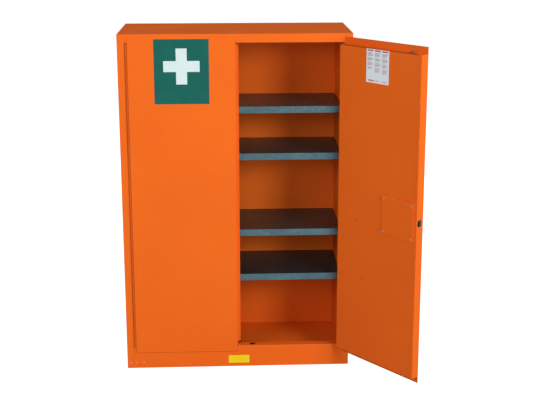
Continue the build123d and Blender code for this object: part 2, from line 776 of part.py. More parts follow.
with BuildPart() as latch_plate:
    with BuildSketch(latch_face(dish_back)):
        plate_x = (dish_sides[1] - latch_plate_lap, latch_plate_front)
        with Locations(((plate_x[0] + plate_x[1]) / 2, 0)):
            Rectangle(plate_x[1] - plate_x[0], 2 * latch_plate_half)
    extrude(amount=latch_plate_sheet)
    with BuildSketch(latch_face(plate_back)):
        Circle(cam_stud_radius)
    extrude(amount=cam_sheet + 2 * cam_clearance)
    with BuildSketch(latch_face(cam_back + cam_clearance)):
        Circle(cam_stud_head)
    extrude(amount=cam_stud_cap)
keep(latch_plate, "latch_plate")

with BuildPart() as latch_cam:
    with BuildSketch(latch_face(cam_front)):
        SlotCenterToCenter(2 * cam_radius, 2 * cam_arm_half)
        with Locations(Location((0, -cam_radius / 2), 90)):
            SlotCenterToCenter(cam_radius, 2 * cam_arm_half)
        Circle(cam_stud_radius + stud_clearance, mode=Mode.SUBTRACT)
    extrude(amount=cam_sheet)
    with BuildSketch(latch_face(cam_back)):
        with Locations((-cam_radius, 0), (cam_radius, 0)):
            Circle(cam_pin_radius)
    extrude(amount=tab_back - cam_back)
    with BuildSketch(latch_face(cam_back)):
        with Locations((0, -cam_radius)):
            Circle(cam_pin_radius)
    extrude(amount=bar_back - cam_back)
keep(latch_cam, "latch_cam")

rod_stops = {"bottom": box_heights[0] - bolt_reach, "top": box_heights[1] + bolt_reach}
collar_feet = {
    "bottom": lock_drop + lock_arm_width / 2 + collar_gap,
    "top": shaft_y - lever_fall - lever_nose - collar_gap - collar_height,
}

for end, way in (("bottom", -1), ("top", 1)):
    with BuildPart() as bolt:
        foot = right_leaf.plane.from_local_coords(
            (reach - rod_inset, -rod_depth, latch_height + way * rod_end)
        )
        rod_plane = Plane(origin=foot, x_dir=(1, 0, 0), z_dir=(0, 0, way))
        with BuildSketch(rod_plane):
            Circle(rod_radius)
        extrude(amount=way * (rod_stops[end] - foot.Z))
        tip = bolt.edges().group_by(Axis.Z)[-1 if way > 0 else 0]
        fillet(tip, bolt_tip_radius)
        with BuildSketch(latch_face(tab_front)):
            tab_foot = rod_end + tab_rise
            with Locations((way * (tab_outer - rod_radius) / 2, way * (tab_foot + rod_tab / 2))):
                Rectangle(tab_outer + rod_radius, rod_tab)
            leg = tab_foot + tab_below
            with Locations((way * (tab_inner + tab_outer) / 2, way * (tab_foot - leg / 2))):
                Rectangle(tab_outer - tab_inner, leg)
            with Locations((way * (cam_radius - pin_shift / 2), 0)):
                gap = 2 * (cam_pin_radius + pin_slack)
                SlotCenterToCenter(pin_shift, gap, mode=Mode.SUBTRACT)
        extrude(amount=rod_tab_sheet)
    keep(bolt, f"{end}_bolt")

    with BuildPart() as bolt_collar:
        with BuildSketch(rod_plane.offset(collar_feet[end] - rod_end)):
            Circle(collar_radius)
            Circle(rod_radius + stud_clearance, mode=Mode.SUBTRACT)
        extrude(amount=collar_height)
    keep(bolt_collar, f"{end}_bolt_collar")

with BuildPart() as middle_latch:
    nose_x = (rod_inset + nose_reach - nose_length, rod_inset + nose_reach)
    with BuildSketch(latch_face(nose_d[0])):
        with Locations(((nose_x[0] + nose_x[1]) / 2, 0)):
            Rectangle(nose_length, nose_height)
    extrude(amount=nose_depth)
    tip_axis = Axis((0, 0, 0), tuple(latch_face(0).x_dir))
    fillet(middle_latch.faces().sort_by(tip_axis)[-1].edges(), nose_radius)
    with BuildSketch(latch_face(bar_front)):
        bar_length = nose_x[0] + latch_riser + latch_bar_end
        bar_middle = -latch_bar_drop - latch_bar_height / 2
        with Locations((bar_length / 2 - latch_bar_end, bar_middle)):
            Rectangle(bar_length, latch_bar_height)
        riser = (-latch_bar_drop - latch_bar_height, nose_half - nose_radius)
        with Locations((nose_x[0] + latch_riser / 2, (riser[0] + riser[1]) / 2)):
            Rectangle(latch_riser, riser[1] - riser[0])
        with Locations(Location((0, pin_shift / 2 - cam_radius), 90)):
            SlotCenterToCenter(pin_shift, gap, mode=Mode.SUBTRACT)
    extrude(amount=rod_tab_sheet)
keep(middle_latch, "middle_latch")

guide_heights = (
    box_heights[0] + guide_end,
    latch_height - guide_middle,
    latch_height + guide_middle,
    box_heights[1] - guide_end - guide_height,
)

with BuildPart(right_leaf.plane) as rod_guides:
    for z in guide_heights:
        u = reach - rod_inset
        guide_u = (u - guide_half, u + guide_half)
        guide_d = across(right_leaf, rod_depth - guide_half, pan_inside)
        block(guide_u, guide_d, (z, z + guide_height))
        with Locations((u, right_leaf.inward * rod_depth, z + guide_height)):
            Hole(rod_radius + guide_clearance, depth=guide_height)
keep(rod_guides, "rod_guides")

# --- Lock ---

with BuildPart() as lock_body:
    with BuildSketch(latch_face(skin_face - bezel_sheet)):
        with Locations((lock_x, -lock_drop)):
            Circle(lock_bezel)
    extrude(amount=bezel_sheet)
    with BuildSketch(latch_face(skin_face)):
        with Locations((lock_x, -lock_drop)):
            Circle(lock_radius)
    extrude(amount=lock_length)
    with BuildSketch(latch_face(skin_face - bezel_sheet)):
        with Locations((lock_x, -lock_drop)):
            Circle(plug_radius + plug_clearance)
    extrude(amount=bezel_sheet + lock_length, mode=Mode.SUBTRACT)
keep(lock_body, "lock_body")

with BuildPart() as lock_plug:
    with BuildSketch(latch_face(skin_face - bezel_sheet)):
        with Locations((lock_x, -lock_drop)):
            Circle(plug_radius)
    extrude(amount=cam_front - skin_face + bezel_sheet)
    with BuildSketch(latch_face(skin_face - bezel_sheet)):
        with Locations((lock_x, -lock_drop)):
            Rectangle(keyway_width, keyway_height)
    extrude(amount=keyway_depth, mode=Mode.SUBTRACT)
    # The arm stands up while unlocked and swings over the bottom bolt's collar to lock it.
    arm_tip = -lock_x - rod_radius - lock_arm_gap
    arm_half = lock_arm_width / 2
    with BuildSketch(latch_face(cam_front)):
        with Locations(Location((lock_x, (arm_tip - arm_half) / 2 - lock_drop), 90)):
            SlotOverall(arm_tip + arm_half, lock_arm_width)
    extrude(amount=cam_sheet)
keep(lock_plug, "lock_plug")

# --- Access cover and label ---

with BuildPart() as access_cover:
    cover_spot = ((cover_u[0] + cover_u[1]) / 2 - reach + rod_inset, 0)
    with BuildSketch(latch_face(pan_back)):
        with Locations(cover_spot):
            RectangleRounded(cover_width, cover_height, cover_corner)
    extrude(amount=cover_rise)
    with BuildSketch(latch_face(pan_back)):
        with Locations(cover_spot):
            room = (cover_width - 2 * sheet, cover_height - 2 * sheet)
            RectangleRounded(*room, cover_corner - sheet)
    extrude(amount=cover_rise - sheet, mode=Mode.SUBTRACT)
    with BuildSketch(latch_face(pan_back)):
        with Locations(screw_spots):
            Circle(screw_radius + screw_clearance)
    extrude(amount=cover_rise, mode=Mode.SUBTRACT)
keep(access_cover, "access_cover")

with BuildPart() as cover_screws:
    with BuildSketch(latch_face(pan_back - screw_end)):
        with Locations(screw_spots):
            Circle(screw_radius)
    extrude(amount=screw_end + cover_rise)
    with BuildSketch(latch_face(pan_back + cover_rise)):
        with Locations(screw_spots):
            Circle(screw_head_radius)
    extrude(amount=screw_head_height)
keep(cover_screws, "cover_screws")

with BuildPart(right_leaf.plane) as inner_label:
    label_u = (reach - inner_label_inset - inner_label_width, reach - inner_label_inset)
    label_top = box_heights[1] - inner_label_drop
    label_d = across(right_leaf, pan_back, pan_back + label_sheet)
    block(label_u, label_d, (label_top - inner_label_height, label_top))
keep(inner_label, "inner_label")
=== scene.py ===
import json
import math

import bmesh
import bpy
from mathutils import Matrix, Vector

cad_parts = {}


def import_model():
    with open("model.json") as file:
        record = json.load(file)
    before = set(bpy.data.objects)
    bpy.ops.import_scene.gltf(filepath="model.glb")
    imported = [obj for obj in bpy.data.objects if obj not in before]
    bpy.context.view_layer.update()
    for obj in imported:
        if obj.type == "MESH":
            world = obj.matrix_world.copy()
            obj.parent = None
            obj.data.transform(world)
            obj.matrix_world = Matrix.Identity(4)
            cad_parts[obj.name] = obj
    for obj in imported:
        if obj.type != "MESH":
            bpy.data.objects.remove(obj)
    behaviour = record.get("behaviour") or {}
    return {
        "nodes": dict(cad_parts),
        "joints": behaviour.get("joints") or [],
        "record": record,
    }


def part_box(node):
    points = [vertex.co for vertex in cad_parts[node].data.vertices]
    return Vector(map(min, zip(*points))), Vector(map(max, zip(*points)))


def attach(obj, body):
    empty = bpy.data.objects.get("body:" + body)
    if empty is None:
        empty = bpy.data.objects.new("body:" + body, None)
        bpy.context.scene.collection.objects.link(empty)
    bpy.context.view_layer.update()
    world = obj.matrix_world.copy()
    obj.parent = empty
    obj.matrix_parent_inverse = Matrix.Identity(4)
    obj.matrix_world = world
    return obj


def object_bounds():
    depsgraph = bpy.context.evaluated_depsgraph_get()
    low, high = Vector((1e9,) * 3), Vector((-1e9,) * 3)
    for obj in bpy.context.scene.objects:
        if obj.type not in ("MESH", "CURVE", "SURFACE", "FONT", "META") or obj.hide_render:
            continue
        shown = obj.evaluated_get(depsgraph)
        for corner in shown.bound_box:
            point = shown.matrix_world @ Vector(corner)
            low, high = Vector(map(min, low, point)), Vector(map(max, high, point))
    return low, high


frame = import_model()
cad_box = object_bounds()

# A two-door safety storage cabinet in orange powder coat, with its right door open. Metres.

nodes = frame["nodes"]
scene = bpy.context.scene
MM = 0.001
AMBIENT = 0.30  # strength of the studio's soft light from all round


# --- Places taken from the frame ---

def joint(name):
    return next(j for j in frame["joints"] if j["name"] == name)


LEFT_AXIS = Vector(joint("left_door_hinge")["pos_m"])
RIGHT_AXIS = Vector(joint("right_door_hinge")["pos_m"])
ACROSS_DOOR = -Vector(joint("middle_latch_slide")["axis"]).normalized()
OUT_OF_DOOR = Vector(joint("latch_cam_turn")["axis"]).normalized()
CAM_AXIS = Vector(joint("latch_cam_turn")["pos_m"])
UP = Vector((0, 0, 1))
FORWARD = Vector((0, -1, 0))
RIGHTWARD = Vector((1, 0, 0))


class Door:
    """Coordinates on a door: u from the hinge axis to the free edge, d inwards, z up."""

    def __init__(self, axis, along, inward, skin, pan):
        self.axis = Vector((axis.x, axis.y, 0))
        self.along = along
        self.inward = inward
        self.reach = self.span(skin, along)[1]
        self.face = self.span(skin, inward)[0]
        self.back = self.span(pan, inward)[1]
        self.hem_back = self.span(skin, inward)[1]
        self.box_z = (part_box(pan)[0].z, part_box(pan)[1].z)
        self.skin_z = (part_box(skin)[0].z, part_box(skin)[1].z)
        self.skin_start = self.span(skin, along)[0]

    def span(self, node, direction):
        reaches = [(v.co - self.axis).dot(direction) for v in nodes[node].data.vertices]
        return min(reaches), max(reaches)

    def place(self, u, d, z):
        return self.axis + self.along * u + self.inward * d + UP * z

    def sheet(self, node):
        """Spans of u and z and the depth of the inner face of a node on the door."""
        low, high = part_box(node)
        return self.span(node, self.along), (low.z, high.z), self.span(node, self.inward)[1]


LEFT = Door(LEFT_AXIS, RIGHTWARD, -FORWARD, "left_door_skin", "left_door_pan")
RIGHT = Door(RIGHT_AXIS, ACROSS_DOOR, -OUT_OF_DOOR, "right_door_skin", "right_door_pan")
BODY_LOW, BODY_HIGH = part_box("outer_back")[0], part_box("outer_top")[1]
FRONT_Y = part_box("outer_top")[0].y


# --- Materials ---

def linear(red, green, blue):
    """Linear colour from the 0-255 values a colour chart gives."""
    def channel(value):
        value /= 255
        return value / 12.92 if value <= 0.04045 else ((value + 0.055) / 1.055) ** 2.4
    return channel(red), channel(green), channel(blue), 1.0


class Finish:
    """A procedural material: a Principled shader and short names for the nodes that feed it."""

    def __init__(self, name, **sockets):
        self.material = bpy.data.materials.new(name)
        self.material.use_nodes = True
        self.tree = self.material.node_tree
        self.shader = self.tree.nodes["Principled BSDF"]
        self.place = self.tree.nodes.new("ShaderNodeTexCoord").outputs["Object"]
        for socket, value in sockets.items():
            self.shader.inputs[socket.replace("_", " ")].default_value = value

    def node(self, kind, inputs=None, **settings):
        made = self.tree.nodes.new(kind)
        for key, value in settings.items():
            setattr(made, key, value)
        for key, value in (inputs or {}).items():
            if hasattr(value, "is_output"):
                self.tree.links.new(value, made.inputs[key])
            else:
                made.inputs[key].default_value = value
        return made

    def noise(self, scale, detail=2.0, stretch=(1, 1, 1)):
        """Noise with that many features to a metre."""
        vector = self.node("ShaderNodeMapping", {"Vector": self.place, "Scale": stretch})
        inputs = {"Vector": vector.outputs[0], "Scale": scale, "Detail": detail}
        return self.node("ShaderNodeTexNoise", inputs).outputs["Fac"]

    def cells(self, scale):
        """A random colour for each Voronoi cell."""
        inputs = {"Vector": self.place, "Scale": scale}
        return self.node("ShaderNodeTexVoronoi", inputs).outputs["Color"]

    def spread(self, value, low, high, start=0.3, end=0.7):
        """Takes a value from start..end to low..high."""
        inputs = {"Value": value, "From Min": start, "From Max": end, "To Min": low, "To Max": high}
        return self.node("ShaderNodeMapRange", inputs).outputs[0]

    def blend(self, share, first, second):
        made = self.node("ShaderNodeMix", data_type="RGBA")
        for socket, value in zip((0, 6, 7), (share, first, second)):
            if hasattr(value, "is_output"):
                self.tree.links.new(value, made.inputs[socket])
            else:
                made.inputs[socket].default_value = value
        return made.outputs[2]

    def feed(self, socket, value):
        self.tree.links.new(value, self.shader.inputs[socket])

    def bump(self, heights, strength, distance):
        """One bump after another, each from a height field."""
        normal = None
        for height, share in heights:
            inputs = {"Height": height, "Strength": strength * share, "Distance": distance}
            if normal:
                inputs["Normal"] = normal
            normal = self.node("ShaderNodeBump", inputs).outputs[0]
        self.feed("Normal", normal)


UPRIGHT_GLOSS, BEND_GLOSS, LEVEL_GLOSS = 0.07, 0.6, 0.004  # specular levels
SPECK = (255, 150, 70)


def powder_coat(name, colour, shade):
    """Powder coat: orange peel and faint clouds. Bends that look up shine most, level faces least."""
    coat = Finish(name, Specular_IOR_Level=UPRIGHT_GLOSS)
    normal = coat.node("ShaderNodeNewGeometry").outputs["Normal"]
    upward = coat.node("ShaderNodeSeparateXYZ", {"Vector": normal}).outputs["Z"]
    bend = coat.spread(upward, UPRIGHT_GLOSS, BEND_GLOSS, 0.05, 0.5)
    level = coat.spread(upward, 0.0, 1.0, 0.75, 0.97)
    gloss = coat.node("ShaderNodeMix", {"Factor": level, "A": bend, "B": LEVEL_GLOSS}).outputs[0]
    coat.feed("Specular IOR Level", gloss)
    clouds = coat.spread(coat.noise(2.3, 4), 0, 1)
    specks = coat.spread(coat.noise(900, 1), 0, 0.10)
    base = coat.blend(clouds, linear(*colour), linear(*shade))
    coat.feed("Base Color", coat.blend(specks, base, linear(*SPECK)))
    coat.feed("Roughness", coat.spread(coat.noise(7, 3), 0.53, 0.64))
    coat.bump([(coat.noise(420, 2), 1.0), (coat.noise(60, 2), 0.5)], 0.12, 0.0004)
    return coat.material


def galvanised(name):
    """Hot-dip galvanised sheet: spangle in colour and gloss, with faint rolling marks."""
    zinc = Finish(name, Metallic=0.85)
    spangle = zinc.node("ShaderNodeSeparateColor", {"Color": zinc.cells(130)}).outputs[0]
    tone = zinc.blend(spangle, linear(66, 94, 103), linear(85, 113, 121))
    stain = zinc.spread(zinc.noise(9, 5), 0, 0.6)
    zinc.feed("Base Color", zinc.blend(stain, tone, linear(60, 82, 90)))
    zinc.feed("Roughness", zinc.spread(spangle, 0.30, 0.46, 0, 1))
    rolling = zinc.noise(300, 2, (0.02, 1, 1))
    zinc.bump([(spangle, 0.6), (rolling, 0.5)], 0.10, 0.0002)
    return zinc.material


def plated(name, colour, roughness=0.3):
    """Bright zinc plate with fine drawing marks."""
    plate = Finish(name, Metallic=1.0)
    clouds = plate.spread(plate.noise(60, 3), 0, 1)
    darker = tuple(int(c * 0.86) for c in colour)
    plate.feed("Base Color", plate.blend(clouds, linear(*colour), linear(*darker)))
    plate.feed("Roughness", plate.spread(plate.noise(35, 3), roughness - 0.07, roughness + 0.10))
    plate.bump([(plate.noise(1500, 2, (1, 1, 0.05)), 1.0)], 0.08, 0.0001)
    return plate.material


def moulded(name, colour, roughness, grain=1600):
    """Moulded plastic with a fine texture."""
    plastic = Finish(name, Specular_IOR_Level=0.4)
    clouds = plastic.spread(plastic.noise(45, 3), 0, 1)
    lighter = tuple(min(255, int(c * 1.25) + 4) for c in colour)
    plastic.feed("Base Color", plastic.blend(clouds, linear(*colour), linear(*lighter)))
    plastic.feed("Roughness", plastic.spread(plastic.noise(80, 2), roughness - 0.05, roughness + 0.08))
    plastic.bump([(plastic.noise(grain, 2), 1.0)], 0.20, 0.00015)
    return plastic.material


def printed(name, colour, shade):
    """Printed vinyl film, smooth, with a faint mottle."""
    vinyl = Finish(name, Specular_IOR_Level=0.06)
    mottle = vinyl.spread(vinyl.noise(14, 4), 0, 1)
    vinyl.feed("Base Color", vinyl.blend(mottle, linear(*colour), linear(*shade)))
    vinyl.feed("Roughness", vinyl.spread(vinyl.noise(30, 2), 0.32, 0.46))
    vinyl.bump([(vinyl.noise(700, 2), 1.0)], 0.05, 0.0001)
    return vinyl.material


FINISHES = {
    "orange_paint": powder_coat("orange_powder_coat", (242, 108, 27), (237, 103, 25)),
    "galvanised_steel": galvanised("galvanised_sheet"),
    "zinc_steel": plated("zinc_plate", (196, 198, 200)),
    "black_nylon": moulded("black_nylon", (20, 21, 23), 0.32),
    "black_handle": moulded("black_coated_metal", (26, 26, 28), 0.38, 900),
    "chrome_lock": plated("chrome", (205, 207, 210), 0.14),
    "green_sign": printed("green_vinyl", (30, 101, 91), (25, 95, 86)),
    "yellow_label": printed("yellow_vinyl", (246, 224, 36), (240, 216, 32)),
    "white_label": printed("white_vinyl", (236, 251, 255), (230, 246, 252)),
}
WHITE_PRINT = printed("white_print", (218, 236, 236), (211, 230, 230))
ROSE_PRINT = printed("rose_print", (206, 178, 192), (198, 172, 186))
RED_PRINT = printed("red_print", (206, 72, 84), (196, 66, 78))
# Painted shade: the hinge leaves get a darker orange for the shade in the hinge groove and between the
# knuckles
HINGE_SHADE_COAT = powder_coat("hinge_painted_shade_coat", (208, 90, 30), (200, 85, 28))
# A darker orange: painted shade on the doors' foot lips, which face down; it also makes the weld marks
# on the right door's pan darker
DARK_MARK_AND_SHADE_COAT = powder_coat("dark_mark_and_shade_coat", (186, 76, 30), (178, 72, 28))
# Painted shade: a dark orange for the strip that stands in for the shadow line along the top of the
# right door's pan
PAN_TOP_SHADE_COAT = powder_coat("pan_top_painted_shade_coat", (140, 54, 24), (132, 50, 22))
# Painted highlight: a paler orange for small bumps that catch the light, on the hem's weld marks, the
# base's marks and the corner button
SPOT_HIGHLIGHT_COAT = powder_coat("spot_painted_highlight_coat", (243, 125, 66), (237, 119, 60))
SCREW_ZINC = plated("screw_zinc", (158, 172, 178), 0.34)
OVERRIDES = {
    # the hinge leaves take the darker coat of painted shade
    "left_hinge_frame_leaf": HINGE_SHADE_COAT, "left_hinge_door_leaf": HINGE_SHADE_COAT,
    "right_hinge_frame_leaf": HINGE_SHADE_COAT, "right_hinge_door_leaf": HINGE_SHADE_COAT,
    "cover_screws": SCREW_ZINC,
}

for entry in frame["record"]["subparts"]:
    slots = nodes[entry["node"]].data.materials
    slots.clear()
    slots.append(OVERRIDES.get(entry["node"], FINISHES[entry["material_slot"]]))


def soften(node, width):
    """Rounds the edges of a CAD node by a small bevel."""
    weld = nodes[node].modifiers.new("weld", "WELD")
    weld.merge_threshold = 0.01 * MM
    edge = nodes[node].modifiers.new("edges", "BEVEL")
    edge.width, edge.segments, edge.limit_method = width, 2, "ANGLE"
    edge.angle_limit = math.radians(40)
    edge.harden_normals = True


EDGES = {  # widths in mm
    "access_cover": 0.5, "astragal_bumper": 0.8, "sill_strike": 0.4, "head_strike": 0.4,
    "paddle": 0.9, "handle_dish": 0.5, "lock_body": 0.4, "latch_keeper": 0.3, "latch_plate": 0.4,
    "outer_top": 1.0, "middle_latch": 1.2,
}
for name, width in EDGES.items():
    soften(name, width * MM)


# --- Pieces made here ---

def piece(name, body, material, build):
    """A mesh piece built by a function of a bmesh, riding on a body."""
    mesh = bpy.data.meshes.new(name)
    shape = bmesh.new()
    build(shape)
    bmesh.ops.recalc_face_normals(shape, faces=shape.faces)
    shape.to_mesh(mesh)
    shape.free()
    made = bpy.data.objects.new(name, mesh)
    scene.collection.objects.link(made)
    mesh.materials.append(material)
    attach(made, body)
    return made


def slab(shape, corners, push):
    """Prism from an outline of points, pushed along a vector."""
    foot = [shape.verts.new(p) for p in corners]
    face = shape.faces.new(foot)
    grown = bmesh.ops.extrude_face_region(shape, geom=[face])["geom"]
    verts = [part for part in grown if isinstance(part, bmesh.types.BMVert)]
    bmesh.ops.translate(shape, vec=push, verts=verts)


def circle(sides):
    """Cosine and sine at equal steps round a circle."""
    angles = [2 * math.pi * k / sides for k in range(sides)]
    return [(math.cos(a), math.sin(a)) for a in angles]


def quarter_steps(count):
    """Angles from 0 upwards, in steps of 15 degrees."""
    return [math.radians(15 * k) for k in range(count)]


def join_loops(shape, loops):
    """Faces between each loop of vertices and the next."""
    for here, there in zip(loops, loops[1:]):
        for k in range(len(here)):
            shape.faces.new((here[k - 1], here[k], there[k], there[k - 1]))


def turned(shape, centre, normal, profile, sides=28, recess=None):
    """Surface of revolution: the profile lists (radius, height) from the rim to the middle."""
    normal = normal.normalized()
    first = normal.orthogonal().normalized()
    second = normal.cross(first)
    loops = []
    for radius, height in profile:
        loop = []
        for cosine, sine in circle(sides):
            x, y = radius * cosine, radius * sine
            lift = recess(x, y, height) if recess else height
            loop.append(shape.verts.new(centre + first * x + second * y + normal * lift))
        loops.append(loop)
    join_loops(shape, loops)
    shape.faces.new(loops[0])
    shape.faces.new(loops[-1])


# Shares of the radius and the height, from the rim inwards
CRATER = ((1.0, 0.0), (0.94, 0.7), (0.86, 1.0), (0.74, 0.86), (0.55, 0.5), (0.34, 0.22), (0.1, 0.1))


def weld_mark(shape, centre, normal, size):
    """Shallow crater that a spot weld leaves: a soft rim round a bowl. Size: radius and height."""
    radius, height = size
    turned(shape, centre, normal, [(r * radius, h * height) for r, h in CRATER])


def bump_mark(shape, centre, normal, size):
    """Low dome. Size: radius and height."""
    radius, height = size
    dome = [(radius * math.cos(a), height * math.sin(a)) for a in quarter_steps(6)]
    turned(shape, centre, normal, dome)


def smooth(made):
    for face in made.data.polygons:
        face.use_smooth = len(face.vertices) == 4
    return made


# The sign's cross, a general first-aid sign
SIGN_LOW, SIGN_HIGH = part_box("door_sign")
CROSS_SPAN = 168 * MM
CROSS_ARM = 51 * MM
CROSS_RISE = 25 * MM
PRINT = 0.15 * MM


def cross(shape):
    centre = (SIGN_LOW + SIGN_HIGH) / 2
    centre = Vector((centre.x, SIGN_LOW.y, centre.z + CROSS_RISE))
    span, arm = CROSS_SPAN / 2, CROSS_ARM / 2
    quarter = [(arm, span), (arm, arm), (span, arm)]
    outline = []
    for k in range(4):
        turn = Matrix.Rotation(-k * math.pi / 2, 2)
        outline += [turn @ Vector(p) for p in quarter]
    slab(shape, [centre + Vector((p.x, 0, p.y)) for p in outline], FORWARD * PRINT)


piece("sign_cross", "left_door", WHITE_PRINT, cross)

# Print on the label inside the right door: plain bars and rules in three columns
LABEL_U, LABEL_Z, LABEL_D = RIGHT.sheet("inner_label")
LABEL_MARGIN = 6 * MM
COLUMN_GAP = 10 * MM
HEAD_BAR = 6 * MM
HEAD_DROP = 3.5 * MM
RULE = 1.9 * MM
RULE_STEP = 3.1 * MM
PARAGRAPHS = ((6, 5, 5, 4), (6, 5, 6, 7), (6, 6, 6, 7))  # rules in each, column by column
PARAGRAPH_GAP = 5 * MM
FOOT_BAR = (8 * MM, 13 * MM)  # above the label's lower edge
column_width = (LABEL_U[1] - LABEL_U[0] - 2 * LABEL_MARGIN - 2 * COLUMN_GAP) / 3


def bar(shape, u0, u1, z0, z1):
    corners = [(u0, z0), (u1, z0), (u1, z1), (u0, z1)]
    slab(shape, [RIGHT.place(u, LABEL_D, z) for u, z in corners], RIGHT.inward * PRINT)


def columns():
    """Starts of the columns, the first one at the hinge side."""
    return [LABEL_U[0] + LABEL_MARGIN + k * (column_width + COLUMN_GAP) for k in range(3)]


def label_heads(shape):
    top = LABEL_Z[1] - HEAD_DROP
    for u in columns():
        bar(shape, u, u + column_width, top - HEAD_BAR, top)
    low, high = (LABEL_Z[0] + rise for rise in FOOT_BAR)
    u = columns()[0] + LABEL_MARGIN
    bar(shape, u, u + column_width, low, high)


def label_rules(shape):
    def width(column, paragraph, line, count):
        """Share of the column's width: about 0.9, and 0.55 for a paragraph's last line."""
        if line == count - 1:
            return 0.55
        return 0.88 + 0.12 * math.sin(5.1 * line + 2.3 * paragraph + column)

    for column, u in enumerate(columns()):
        z = LABEL_Z[1] - HEAD_DROP - HEAD_BAR - 2 * RULE_STEP
        for paragraph, count in enumerate(PARAGRAPHS[column]):
            for line in range(count):
                end = u + column_width * width(column, paragraph, line, count)
                bar(shape, u, end, z - RULE, z)
                z -= RULE_STEP
            z -= PARAGRAPH_GAP
    for line in range(2):
        z = LABEL_Z[0] + FOOT_BAR[1] - line * RULE_STEP
        for u in columns()[1:]:
            bar(shape, u, u + column_width * (0.9 - 0.2 * line), z - RULE, z)


piece("label_heads", "right_door", RED_PRINT, label_heads)
piece("label_rules", "right_door", ROSE_PRINT, label_rules)

# Domed heads on the access cover's screws, each with a cross recess
COVER_U, COVER_Z, COVER_D = RIGHT.sheet("access_cover")
SCREW_INSET = 13 * MM
SCREW_DOME = 4.2 * MM
SCREW_RISE = 2.8 * MM
SCREW_RINGS, SCREW_SIDES = 14, 48
RECESS_REACH = 2.3 * MM
RECESS_HALF = 0.55 * MM
RECESS_FLOOR = 1.7 * MM


def screw_heads(shape):
    def recess(x, y, height):
        across, along = sorted((abs(x), abs(y)))
        return min(height, RECESS_FLOOR) if across < RECESS_HALF and along < RECESS_REACH else height

    profile = [(SCREW_DOME, 0.0)]
    for k in range(SCREW_RINGS):
        share = 1 - (k + 0.5) / SCREW_RINGS
        profile.append((SCREW_DOME * share, SCREW_RISE * math.sqrt(1 - 0.9 * share ** 2)))
    for u in (COVER_U[0] + SCREW_INSET, COVER_U[1] - SCREW_INSET):
        for z in (COVER_Z[0] + SCREW_INSET, COVER_Z[1] - SCREW_INSET):
            turned(shape, RIGHT.place(u, COVER_D, z), RIGHT.inward, profile, SCREW_SIDES, recess)


piece("cover_screw_heads", "right_door", SCREW_ZINC, screw_heads)

# Black bushings where the bolts leave the door
BUSHING = 13.5 * MM
BUSHING_BORE = 5.0 * MM
BUSHING_RISE = 2.2 * MM
BUSHING_CHAMFER = 0.5 * MM
BUSHING_SIDES = 32


def above_collar(node, z):
    """The point at height z on the axis of a bolt's collar."""
    low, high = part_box(node)
    return Vector(((low.x + high.x) / 2, (low.y + high.y) / 2, z))


def bushings(shape):
    outside, bore = BUSHING, BUSHING_BORE
    ring = [(outside, 0.0), (outside, 0.6), (outside - BUSHING_CHAMFER, 1.0),
            (bore + BUSHING_CHAMFER, 1.0), (bore, 0.6), (bore, 0.0)]
    for node, end in (("top_bolt_collar", 1), ("bottom_bolt_collar", 0)):
        centre = above_collar(node, RIGHT.box_z[end])
        normal = UP if end else -UP
        first, second = RIGHT.along, normal.cross(RIGHT.along)
        loops = []
        for radius, share in ring:
            middle = centre + normal * (share * BUSHING_RISE)
            loops.append([
                shape.verts.new(middle + first * (radius * c) + second * (radius * s))
                for c, s in circle(BUSHING_SIDES)
            ])
        join_loops(shape, loops + loops[:1])


piece("bolt_bushings", "right_door", FINISHES["black_nylon"], bushings)

# Black cap on the top bolt's tip
CAP_RADIUS = 4.6 * MM
CAP_WALL = 0.5 * MM
CAP_HEIGHT = 7 * MM
CAP_DOME = 3 * MM


def bolt_cap(shape):
    """A straight wall and a dome, with heights from the dome's foot."""
    dome = [(CAP_RADIUS * math.cos(a), CAP_DOME * math.sin(a)) for a in quarter_steps(6)]
    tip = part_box("top_bolt")[1].z + CAP_WALL
    foot = above_collar("top_bolt_collar", tip - CAP_DOME)
    turned(shape, foot, UP, [(CAP_RADIUS, CAP_DOME - CAP_HEIGHT)] + dome)


smooth(piece("top_bolt_cap", "top_bolt", FINISHES["black_nylon"], bolt_cap))

# Oval surround of the opening that the middle latch comes out of
SURROUND_RIM = 7 * MM
SURROUND_GAP = 1.0 * MM
SURROUND_RISE = 1.0 * MM
SURROUND_CHAMFER = 1.0 * MM
SURROUND_SIDES = 48


def latch_surround(shape):
    points = [v.co - RIGHT.axis for v in nodes["middle_latch"].data.vertices]
    tip = max(p.dot(RIGHT.along) for p in points)
    nose = [p for p in points if p.dot(RIGHT.along) > tip - MM]
    depths = [p.dot(RIGHT.inward) for p in nose]
    heights = [p.z for p in nose]
    d, z = (min(depths) + max(depths)) / 2, (min(heights) + max(heights)) / 2
    half_d = (max(depths) - min(depths)) / 2 + SURROUND_GAP
    half_z = (max(heights) - min(heights)) / 2 + SURROUND_GAP

    def oval(rim):
        return [((half_d + rim) * c, (half_z + rim / 3) * s) for c, s in circle(SURROUND_SIDES)]

    def opening():
        """Points on the sides of the opening, in the same directions as the oval's."""
        spots = []
        for c, s in circle(SURROUND_SIDES):
            reach = min(half_d / max(abs(c), 1e-6), half_z / max(abs(s), 1e-6))
            spots.append((reach * c, reach * s))
        return spots

    rim = SURROUND_RIM
    sections = [(oval(rim), 0.0), (oval(rim), 0.5), (oval(rim - SURROUND_CHAMFER), 1.0),
                (opening(), 1.0), (opening(), 0.0)]
    loops = []
    for spots, share in sections:
        u = RIGHT.reach + share * SURROUND_RISE
        loops.append([shape.verts.new(RIGHT.place(u, d + x, z + y)) for x, y in spots])
    join_loops(shape, loops + loops[:1])


piece("latch_surround", "right_door", FINISHES["black_nylon"], latch_surround)

